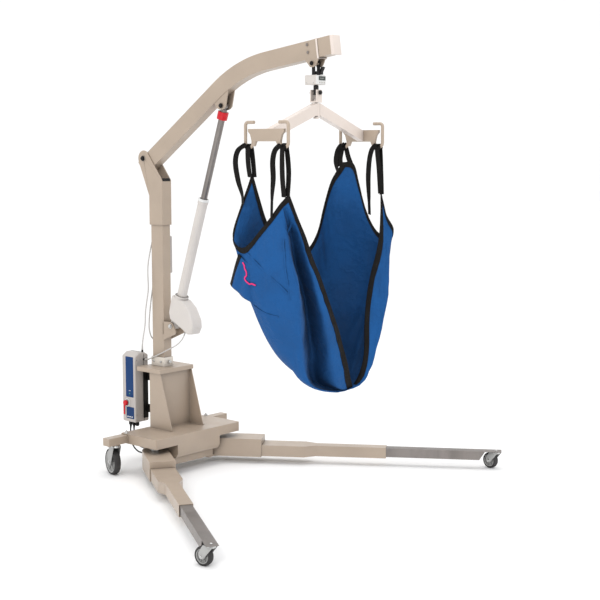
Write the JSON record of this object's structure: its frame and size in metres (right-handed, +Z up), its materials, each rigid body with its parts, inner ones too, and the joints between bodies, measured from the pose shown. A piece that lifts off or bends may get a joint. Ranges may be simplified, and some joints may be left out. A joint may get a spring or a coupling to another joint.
{
  "type": "patient lift hoist",
  "caption": "Mobile patient lift with spreading legs on swivel casters, a mast, a powered bent boom, a weighing hanger, a spreader with cradles and hooks, and a fabric sling.",
  "frame": {"origin": "bottom centre of the whole hoist's box, at floor level", "axes": "+X forward, where the boom points; +Y the hoist's left; +Z up"},
  "size_m": [1.524, 1.9896, 2.0002],
  "materials": {
    "frame_paint": "smooth warm grey powder coat",
    "spreader_paint": "pale powder coat, slightly glossy",
    "bare_steel": "drawn tube, brushed along its length",
    "bright_steel": "zinc plated, bright",
    "light_plastic": "light grey moulded plastic",
    "case_plastic": "fine-grained grey plastic",
    "cream_plastic": "cream moulded plastic",
    "black_plastic": "black moulded plastic",
    "red_plastic": "red moulded plastic",
    "caster_plastic": "grey glass-filled nylon",
    "tread": "dark non-marking rubber",
    "sling_fabric": "blue woven polyester",
    "webbing": "dark ribbed webbing",
    "grey_cable": "light grey cable sheath",
    "black_cable": "black cable sheath"
  },
  "bodies": {
    "base": {"base_box": "frame_paint", "rear_arms": "frame_paint", "lower_housing": "frame_paint", "leg_pivot_bolts": "bright_steel", "pedestal": "frame_paint", "mast_lower": "frame_paint", "mast_collar": "cream_plastic", "frame_screws": "bright_steel", "mast_head": "frame_paint", "head_buffer": "black_plastic", "boom_pivot_pin": "bright_steel", "actuator_bracket": "frame_paint", "control_box": "case_plastic", "battery_pack": "black_plastic", "control_bracket": "black_plastic", "cable_plugs": "black_plastic", "handset_hook": "black_plastic", "handset": "case_plastic", "leg_actuator": "black_plastic", "handset_cable": "grey_cable", "motor_cable": "grey_cable", "leg_cable_1": "black_cable", "leg_cable_2": "black_cable"},
    "boom": {"boom_tube": "frame_paint", "boom_end": "frame_paint", "lift_bracket": "frame_paint", "hanger_bracket": "frame_paint"},
    "actuator": {"actuator_housing": "light_plastic", "actuator_tube": "light_plastic"},
    "actuator_piston": {"actuator_rod": "bare_steel"},
    "lowering_collar": {"lowering_collar": "red_plastic"},
    "hanger": {"hanger_strap": "black_plastic", "scale_housing": "light_plastic"},
    "release_lever": {"release_lever": "black_plastic"},
    "yoke": {"spreader_yoke": "spreader_paint"},
    "spreader": {"spreader_arms": "spreader_paint", "cradle_left": "frame_paint", "cradle_right": "frame_paint", "sling": "sling_fabric", "sling_straps": "webbing"},
    "leg_left": {"left_leg_block": "frame_paint", "left_leg_tube": "frame_paint", "left_leg_end": "bare_steel"},
    "leg_right": {"right_leg_block": "frame_paint", "right_leg_tube": "frame_paint", "right_leg_end": "bare_steel"},
    "leg_carriage": {"leg_carriage": "frame_paint"},
    "stop_button": {"stop_button": "red_plastic"},
    "handset_lift_key": {"handset_lift_key": "black_plastic"},
    "handset_leg_key": {"handset_leg_key": "black_plastic"},
    "rear_left_caster": {"rear_left_fork": "caster_plastic"},
    "rear_left_wheel": {"rear_left_wheel": "tread"},
    "rear_left_pedal": {"rear_left_pedal": "black_plastic"},
    "front_left_caster": {"front_left_fork": "caster_plastic"},
    "front_left_wheel": {"front_left_wheel": "tread"},
    "rear_right_caster": {"rear_right_fork": "caster_plastic"},
    "rear_right_wheel": {"rear_right_wheel": "tread"},
    "rear_right_pedal": {"rear_right_pedal": "black_plastic"},
    "front_right_caster": {"front_right_fork": "caster_plastic"},
    "front_right_wheel": {"front_right_wheel": "tread"}
  },
  "joints": [
    {"name": "boom_lift", "type": "hinge", "parent": "base", "child": "boom", "pos_m": [-0.65797, 0, 1.482], "axis": [0, -1, 0], "range_deg": [-44.5, 0]},
    {"name": "actuator_swing", "type": "hinge", "parent": "base", "child": "actuator", "pos_m": [-0.48198, 0, 0.684], "axis": [0, -1, 0], "range_deg": [-13.7, 0], "deforming": ["motor_cable"]},
    {"name": "actuator_stroke", "type": "slide", "parent": "actuator", "child": "actuator_piston", "axis": [0.3162, 0, 0.9487], "range_m": [-0.3806, 0]},
    {"name": "lowering_collar_turn", "type": "hinge", "parent": "actuator_piston", "child": "lowering_collar", "pos_m": [-0.13598, 0, 1.722], "axis": [0.3162, 0, 0.9487], "range_deg": [-45, 45]},
    {"name": "hanger_swing", "type": "hinge", "parent": "boom", "child": "hanger", "pos_m": [0.40802, 0, 1.888], "axis": [0, -1, 0], "range_deg": [0, 44.5]},
    {"name": "release_lever_turn", "type": "hinge", "parent": "hanger", "child": "release_lever", "pos_m": [0.43202, 0, 1.848], "axis": [0, 1, 0], "range_deg": [0, 25]},
    {"name": "spreader_tilt", "type": "hinge", "parent": "hanger", "child": "yoke", "pos_m": [0.40802, 0, 1.766], "axis": [1, 0, 0], "range_deg": [-20, 20]},
    {"name": "spreader_swivel", "type": "hinge", "parent": "yoke", "child": "spreader", "pos_m": [0.40802, 0, 1.7], "axis": [0, 0, 1], "continuous": true},
    {"name": "leg_left_close", "type": "hinge", "parent": "base", "child": "leg_left", "pos_m": [-0.41097, 0.205, 0], "axis": [0, 0, -1], "range_deg": [0, 33]},
    {"name": "leg_right_close", "type": "hinge", "parent": "base", "child": "leg_right", "pos_m": [-0.41097, -0.205, 0], "axis": [0, 0, 1], "range_deg": [0, 33]},
    {"name": "leg_carriage_slide", "type": "slide", "parent": "base", "child": "leg_carriage", "axis": [-1, 0, 0], "range_m": [0, 0.0515]},
    {"name": "stop_button_press", "type": "slide", "parent": "base", "child": "stop_button", "axis": [0, 1, 0], "range_m": [0, 0.003], "stiffness_N_per_m": 900},
    {"name": "lift_key_rock", "type": "hinge", "parent": "base", "child": "handset_lift_key", "pos_m": [-0.58198, 0.0549, 1.062], "axis": [1, 0, 0], "range_deg": [-4, 4], "stiffness_Nm_per_rad": 0.5},
    {"name": "leg_key_rock", "type": "hinge", "parent": "base", "child": "handset_leg_key", "pos_m": [-0.58198, 0.0549, 1.02], "axis": [1, 0, 0], "range_deg": [-4, 4], "stiffness_Nm_per_rad": 0.5},
    {"name": "rear_left_swivel", "type": "hinge", "parent": "base", "child": "rear_left_caster", "pos_m": [-0.54397, 0.331, 0.147], "axis": [0, 0, 1], "continuous": true},
    {"name": "rear_left_spin", "type": "hinge", "parent": "rear_left_caster", "child": "rear_left_wheel", "pos_m": [-0.57831, 0.32017, 0.0625], "axis": [-0.3007, 0.9537, 0], "continuous": true},
    {"name": "rear_left_brake", "type": "hinge", "parent": "rear_left_caster", "child": "rear_left_pedal", "pos_m": [-0.58212, 0.31897, 0.134], "axis": [0.3007, -0.9537, 0], "range_deg": [0, 10]},
    {"name": "front_left_swivel", "type": "hinge", "parent": "leg_left", "child": "front_left_caster", "pos_m": [0.72732, 0.96014, 0.086], "axis": [0, 0, 1], "continuous": true},
    {"name": "front_left_spin", "type": "hinge", "parent": "front_left_caster", "child": "front_left_wheel", "pos_m": [0.69351, 0.96369, 0.038], "axis": [0.1045, 0.9945, 0], "continuous": true},
    {"name": "rear_right_swivel", "type": "hinge", "parent": "base", "child": "rear_right_caster", "pos_m": [-0.54397, -0.331, 0.147], "axis": [0, 0, 1], "continuous": true},
    {"name": "rear_right_spin", "type": "hinge", "parent": "rear_right_caster", "child": "rear_right_wheel", "pos_m": [-0.57831, -0.32017, 0.0625], "axis": [0.3007, 0.9537, 0], "continuous": true},
    {"name": "rear_right_brake", "type": "hinge", "parent": "rear_right_caster", "child": "rear_right_pedal", "pos_m": [-0.58212, -0.31897, 0.134], "axis": [-0.3007, -0.9537, 0], "range_deg": [0, 10]},
    {"name": "front_right_swivel", "type": "hinge", "parent": "leg_right", "child": "front_right_caster", "pos_m": [0.72732, -0.96014, 0.086], "axis": [0, 0, 1], "continuous": true},
    {"name": "front_right_spin", "type": "hinge", "parent": "front_right_caster", "child": "front_right_wheel", "pos_m": [0.69351, -0.96369, 0.038], "axis": [-0.1045, 0.9945, 0], "continuous": true}
  ],
  "couplings": [
    {"joint": "actuator_swing", "follows": "boom_lift", "ratio": 0.3057},
    {"joint": "actuator_stroke", "follows": "boom_lift", "m_per_rad": 0.4898},
    {"joint": "hanger_swing", "follows": "boom_lift", "ratio": -1},
    {"joint": "leg_right_close", "follows": "leg_left_close", "ratio": 1},
    {"joint": "leg_carriage_slide", "follows": "leg_left_close", "m_per_rad": 0.0888}
  ]
}
